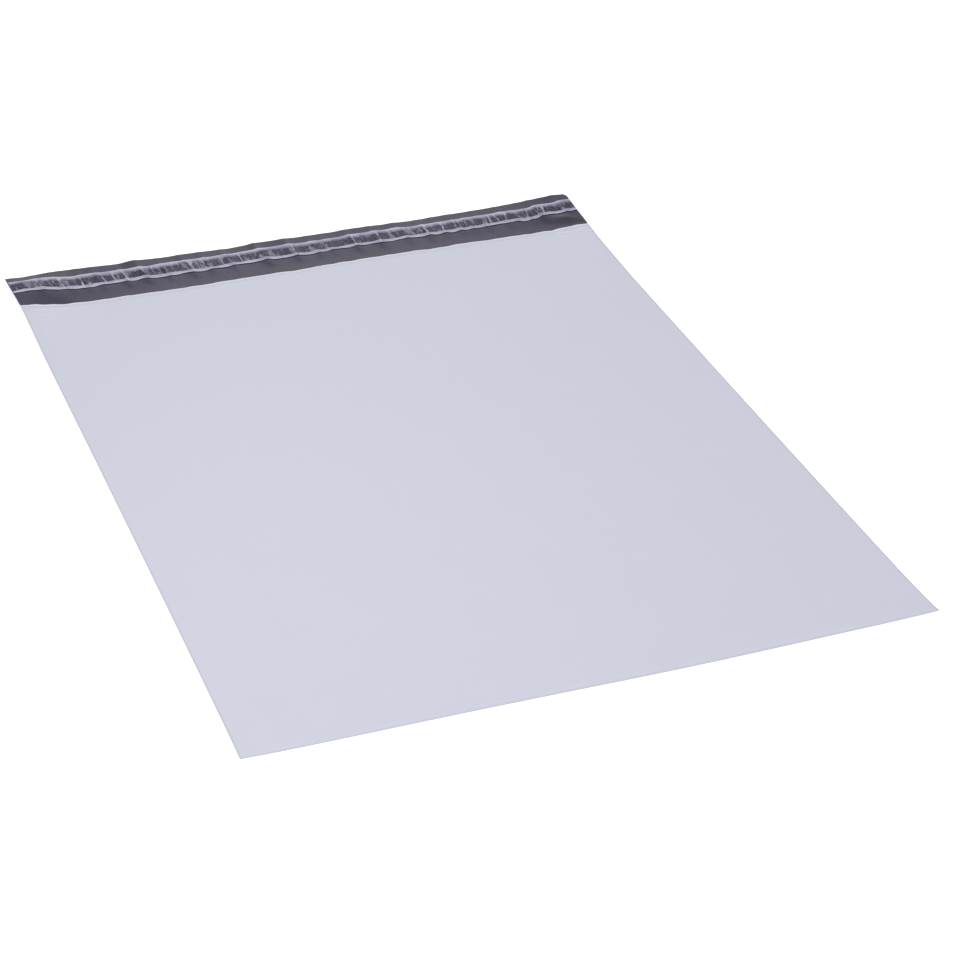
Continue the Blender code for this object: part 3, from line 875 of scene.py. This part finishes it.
def film_grain_group():
    """Extrusion streaks along the film, soft mottling and a fine haze, as a shade and a height."""
    tree, given, made = new_group("film_grain", [("Streaks", 0.5), ("Mottling", 0.5)], ["Shade", "Height"])
    place = object_place(tree)
    streaks = noise_node(tree, stretched(tree, place, (1.0, 0.03, 1.0)), STREAKS_PER_METRE, 4.0, 0.6)
    mottle = noise_node(tree, place, MOTTLES_PER_METRE, 3.0, 0.55)
    haze = noise_node(tree, place, HAZE_PER_METRE)
    streak_part = math_node(tree, "MULTIPLY", scaled(tree, streaks, 1.0, -0.5), given.outputs["Streaks"])
    mottle_part = math_node(tree, "MULTIPLY", scaled(tree, mottle, 1.0, -0.5), given.outputs["Mottling"])
    shade = math_node(tree, "ADD", math_node(tree, "ADD", streak_part, mottle_part), 0.5, clamp=True)
    height = math_node(tree, "ADD", scaled(tree, streaks, 0.6), scaled(tree, haze, 0.4))
    tree.links.new(shade, made.inputs["Shade"])
    tree.links.new(height, made.inputs["Height"])
    return tree


def crease_group():
    """Fine handling creases: thin lines between the cells of a warped pattern, kept in patches."""
    tree, given, made = new_group("handling_creases", [("Scale", 20.0), ("Amount", 0.5)], ["Line"])
    place = object_place(tree)
    warp = tree.nodes.new("ShaderNodeTexNoise")
    warp.inputs["Scale"].default_value = CREASE_BENDS_PER_METRE
    tree.links.new(place, warp.inputs["Vector"])
    bent = tree.nodes.new("ShaderNodeMix")
    bent.data_type = "VECTOR"
    bent.inputs["Factor"].default_value = 0.06
    tree.links.new(place, bent.inputs[4])
    tree.links.new(warp.outputs["Color"], bent.inputs[5])
    cells = tree.nodes.new("ShaderNodeTexVoronoi")
    cells.feature = "DISTANCE_TO_EDGE"
    tree.links.new(bent.outputs[1], cells.inputs["Vector"])
    tree.links.new(given.outputs["Scale"], cells.inputs["Scale"])
    thin = scaled(tree, cells.outputs["Distance"], -45.0, 1.0, clamp=True)
    seen = scaled(tree, noise_node(tree, place, CREASE_PATCHES_PER_METRE), 6.0, -3.0, clamp=True)
    line = math_node(tree, "MULTIPLY", math_node(tree, "MULTIPLY", thin, seen), given.outputs["Amount"])
    tree.links.new(line, made.inputs["Line"])
    return tree


def start_material(name):
    """A new material, its node tree and its Principled shader."""
    material = bpy.data.materials.new(name)
    material.use_nodes = True
    return material, material.node_tree, material.node_tree.nodes["Principled BSDF"]


def use_group(tree, group, **values):
    """A group placed in a material's tree, with its own values."""
    node = tree.nodes.new("ShaderNodeGroup")
    node.node_tree = group
    for label, value in values.items():
        node.inputs[label].default_value = value
    return node


def attribute(tree, label):
    """A value that the mesh carries at each point."""
    node = tree.nodes.new("ShaderNodeAttribute")
    node.attribute_name = label
    return node.outputs["Fac"]


def bump(tree, shader, height, distance):
    """A Bump node from a height to the shader's Normal."""
    node = tree.nodes.new("ShaderNodeBump")
    node.inputs["Distance"].default_value = distance
    tree.links.new(height, node.inputs["Height"])
    tree.links.new(node.outputs["Normal"], shader.inputs["Normal"])


def white_film_material(grain, creases):
    """Opaque white film with a satin face, greyer along the side edges, with painted shade and painted
    highlights in bands near the mouth and the fold.
    """
    material, tree, shader = start_material("white_film_outside")
    texture = use_group(tree, grain, Streaks=0.35, Mottling=0.5)
    lines = use_group(tree, creases, Scale=16.0, Amount=1.0)
    base = colour_mix(tree, texture.outputs["Shade"], *WHITE_FILM)
    for label, amount, colour in WHITE_FILM_BANDS:
        base = colour_mix(tree, scaled(tree, attribute(tree, label), amount), base, colour)
    tree.links.new(base, shader.inputs["Base Color"])
    rough = scaled(tree, texture.outputs["Shade"], ROUGHNESS_SPREAD, ROUGHNESS_WHITE)
    tree.links.new(rough, shader.inputs["Roughness"])
    height = math_node(tree, "ADD", texture.outputs["Height"], scaled(tree, lines.outputs["Line"], 1.5))
    bump(tree, shader, height, RELIEF_WHITE)
    return material


def grey_film_material(grain, creases):
    """The dark grey inner face of the same film, glossier, with warmer patches and painted shade at the lip's
    right end.
    """
    material, tree, shader = start_material("grey_film_inside")
    texture = use_group(tree, grain, Streaks=0.5, Mottling=1.8)
    lines = use_group(tree, creases, Scale=30.0, Amount=1.0)
    base = colour_mix(tree, texture.outputs["Shade"], *GREY_FILM)
    patches = noise_node(tree, object_place(tree), WARM_PATCHES_PER_METRE)
    warm = scaled(tree, patches, 5.0, -2.7, clamp=True)
    base = colour_mix(tree, scaled(tree, warm, 0.6), base, GREY_FILM_WARM)
    # Painted shade at the lip's right end, where the film tilts away from the light
    base = colour_mix(tree, scaled(tree, attribute(tree, "lip_end_shade"), 0.6), base, GREY_FILM_END_SHADE)
    base = colour_mix(tree, scaled(tree, lines.outputs["Line"], 0.25), base, GREY_FILM_CREASE)
    tree.links.new(base, shader.inputs["Base Color"])
    rough = scaled(tree, texture.outputs["Shade"], ROUGHNESS_SPREAD, ROUGHNESS_GREY)
    tree.links.new(rough, shader.inputs["Roughness"])
    shader.inputs["Specular IOR Level"].default_value = 0.3
    height = math_node(tree, "ADD", texture.outputs["Height"], scaled(tree, lines.outputs["Line"], 2.0))
    bump(tree, shader, height, RELIEF_GREY)
    return material


def glue_material():
    """Dark, wet-looking hot melt with small bubbles and a slightly uneven face."""
    material, tree, shader = start_material("hot_melt_glue")
    place = object_place(tree)
    base = colour_mix(tree, noise_node(tree, place, GLUE_PATCHES_PER_METRE, 3.0, 0.6), *GLUE)
    tree.links.new(base, shader.inputs["Base Color"])
    shader.inputs["Roughness"].default_value = ROUGHNESS_GLUE
    shader.inputs["Specular IOR Level"].default_value = 0.2
    bump(tree, shader, noise_node(tree, place, GLUE_BUMPS_PER_METRE), RELIEF_GLUE)
    return material


def liner_material(grain):
    """Clear release film: see-through where it sticks to the adhesive, milky where it is loose, and with a
    painted highlight along its cut edges.
    """
    material, tree, shader = start_material("release_liner_film")
    texture = use_group(tree, grain, Streaks=0.8, Mottling=0.8)
    place = object_place(tree)
    flecks = noise_node(tree, stretched(tree, place, (1.0, 0.60, 1.0)), FLECKS_PER_METRE, 2.0, 0.6)
    patches = noise_node(tree, stretched(tree, place, (1.0, 0.18, 1.0)), STUCK_PATCHES_PER_METRE, 2.0, 0.55)
    flecks = scaled(tree, scaled(tree, flecks, 6.0, -3.0, clamp=True), 0.18)
    patches = scaled(tree, scaled(tree, patches, 10.0, -5.2, clamp=True), 0.50)
    half_stuck = math_node(tree, "ADD", flecks, patches)
    milk = math_node(tree, "MAXIMUM", attribute(tree, "loose"), half_stuck)
    # Painted highlight along the liner's cut edges
    rim = attribute(tree, "liner_rim_highlight")
    base = colour_mix(tree, milk, LINER_STUCK, LINER_LOOSE)
    base = colour_mix(tree, rim, base, LINER_RIM_HIGHLIGHT)
    tree.links.new(base, shader.inputs["Base Color"])
    alpha = scaled(tree, rim, 0.25, scaled(tree, milk, 0.93, 0.02), clamp=True)
    tree.links.new(alpha, shader.inputs["Alpha"])
    shader.inputs["Roughness"].default_value = ROUGHNESS_LINER
    shader.inputs["Specular IOR Level"].default_value = 0.3
    bump(tree, shader, texture.outputs["Height"], RELIEF_LINER)
    return material


def make_floor():
    """A wide pale floor just under the bag, which the camera sees as white and which keeps the shadow."""
    half = FLOOR_SIZE / 2
    corners = [(-half, -half), (half, -half), (half, half), (-half, half)]
    mesh = bpy.data.meshes.new("studio_floor")
    mesh.from_pydata([(x, y, -FLOOR_DROP) for x, y in corners], [], [(0, 1, 2, 3)])
    floor = bpy.data.objects.new("studio_floor", mesh)
    bpy.context.scene.collection.objects.link(floor)
    material, tree, shader = start_material("floor_white")
    shader.inputs["Base Color"].default_value = FLOOR
    shader.inputs["Roughness"].default_value = 0.9
    shader.inputs["Specular IOR Level"].default_value = 0.0
    rays = tree.nodes.new("ShaderNodeLightPath")
    seen = math_node(tree, "MAXIMUM", rays.outputs["Is Camera Ray"], rays.outputs["Is Glossy Ray"])
    seen = math_node(tree, "MAXIMUM", seen, rays.outputs["Is Transmission Ray"])
    shader.inputs["Emission Color"].default_value = (1.0, 1.0, 1.0, 1.0)
    tree.links.new(scaled(tree, seen, FLOOR_GLOW), shader.inputs["Emission Strength"])
    mesh.materials.append(material)


def soft_lamp(name, place, size, power):
    """A square area lamp at place that faces the bag's middle."""
    lamp = bpy.data.lights.new(name, "AREA")
    lamp.shape = "SQUARE"
    lamp.size = size
    lamp.energy = power
    holder = bpy.data.objects.new(name, lamp)
    holder.location = place
    holder.rotation_euler = (-Vector(place)).to_track_quat("-Z", "Y").to_euler()
    bpy.context.scene.collection.objects.link(holder)


def make_light():
    """Even light from all round, a soft key lamp at the near left, and a weak lamp behind the bag that its
    flat film mirrors."""
    world = bpy.data.worlds.new("studio")
    world.use_nodes = True
    background = world.node_tree.nodes["Background"]
    background.inputs["Color"].default_value = (1.0, 1.0, 1.0, 1.0)
    background.inputs["Strength"].default_value = WORLD_LEVEL
    bpy.context.scene.world = world
    soft_lamp("key_lamp", KEY_PLACE, KEY_SIZE, KEY_POWER)
    soft_lamp("back_lamp", BACK_PLACE, BACK_SIZE, BACK_POWER)


def make_camera():
    """The camera looks from azimuth and elevation at the target, and is rolled about its own axis."""
    across, up = CAMERA_AZIMUTH, CAMERA_ELEVATION
    back = Vector((math.sin(across) * math.cos(up), -math.cos(across) * math.cos(up), math.sin(up)))
    level = Vector((math.cos(across), math.sin(across), 0.0))
    right = Matrix.Rotation(CAMERA_ROLL, 3, back) @ level
    camera = bpy.data.cameras.new("view")
    camera.sensor_width = SENSOR_WIDTH
    camera.lens = CAMERA_LENS
    camera.clip_start = 0.05
    holder = bpy.data.objects.new("view", camera)
    turn = Matrix((right, back.cross(right), back)).transposed()
    holder.matrix_world = Matrix.Translation(Vector(CAMERA_TARGET) + back * CAMERA_DISTANCE) @ turn.to_4x4()
    bpy.context.scene.collection.objects.link(holder)
    bpy.context.scene.camera = holder


def main():
    """Builds the stage and the three pieces."""
    make_camera()
    make_light()
    make_floor()
    grain, creases = film_grain_group(), crease_group()
    make_film(white_film_material(grain, creases), grey_film_material(grain, creases))
    make_glue(glue_material())
    make_liner(liner_material(grain))
    bpy.context.scene.view_settings.view_transform = "Standard"


main()
